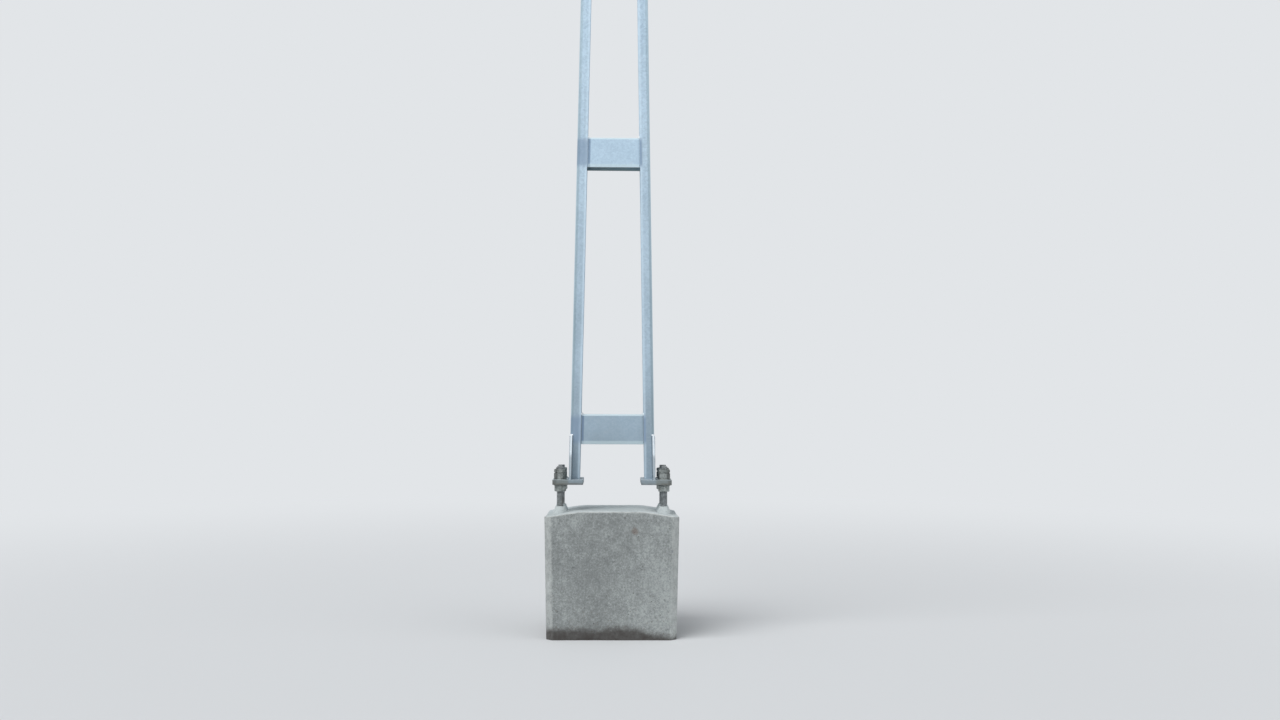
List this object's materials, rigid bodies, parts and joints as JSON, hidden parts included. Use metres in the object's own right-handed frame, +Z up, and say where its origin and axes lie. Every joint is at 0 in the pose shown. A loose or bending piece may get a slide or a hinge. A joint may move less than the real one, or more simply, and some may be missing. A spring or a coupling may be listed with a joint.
{
  "type": "railway catenary mast",
  "caption": "Tapering battened mast of bent steel channels with a capped top, on foot plates bolted down to a chamfered concrete plinth.",
  "frame": {"origin": "middle of the plinth's underside, at ground level", "axes": "+Z up along the mast, +X across the track from the left leg to the right leg, +Y along the track away from the pictured face"},
  "size_m": [0.6594, 0.5594, 8.773],
  "materials": {
    "concrete": "cast concrete, mottled, matte",
    "galvanised_steel": "hot-dip galvanised, matte blue-grey",
    "zinc_fasteners": "galvanised bolts, dull grey"
  },
  "bodies": {
    "root": {"concrete_plinth": "concrete", "left_leg": "galvanised_steel", "right_leg": "galvanised_steel", "left_foot_plate": "galvanised_steel", "right_foot_plate": "galvanised_steel", "gusset_left_front": "galvanised_steel", "gusset_left_rear": "galvanised_steel", "gusset_right_front": "galvanised_steel", "gusset_right_rear": "galvanised_steel", "front_batten_1": "galvanised_steel", "front_batten_2": "galvanised_steel", "front_batten_3": "galvanised_steel", "front_batten_4": "galvanised_steel", "front_batten_5": "galvanised_steel", "front_batten_6": "galvanised_steel", "rear_batten_1": "galvanised_steel", "rear_batten_2": "galvanised_steel", "rear_batten_3": "galvanised_steel", "rear_batten_4": "galvanised_steel", "rear_batten_5": "galvanised_steel", "rear_batten_6": "galvanised_steel", "top_cap": "galvanised_steel", "anchor_bolt_left_front": "zinc_fasteners", "anchor_bolt_left_rear": "zinc_fasteners", "anchor_bolt_right_front": "zinc_fasteners", "anchor_bolt_right_rear": "zinc_fasteners", "levelling_nut_left_front": "zinc_fasteners", "levelling_nut_left_rear": "zinc_fasteners", "levelling_nut_right_front": "zinc_fasteners", "levelling_nut_right_rear": "zinc_fasteners", "clamping_nut_left_front": "zinc_fasteners", "clamping_nut_left_rear": "zinc_fasteners", "clamping_nut_right_front": "zinc_fasteners", "clamping_nut_right_rear": "zinc_fasteners", "lock_nut_left_front": "zinc_fasteners", "lock_nut_left_rear": "zinc_fasteners", "lock_nut_right_front": "zinc_fasteners", "lock_nut_right_rear": "zinc_fasteners", "lower_washers": "zinc_fasteners", "upper_washers": "zinc_fasteners"}
  },
  "joints": []
}
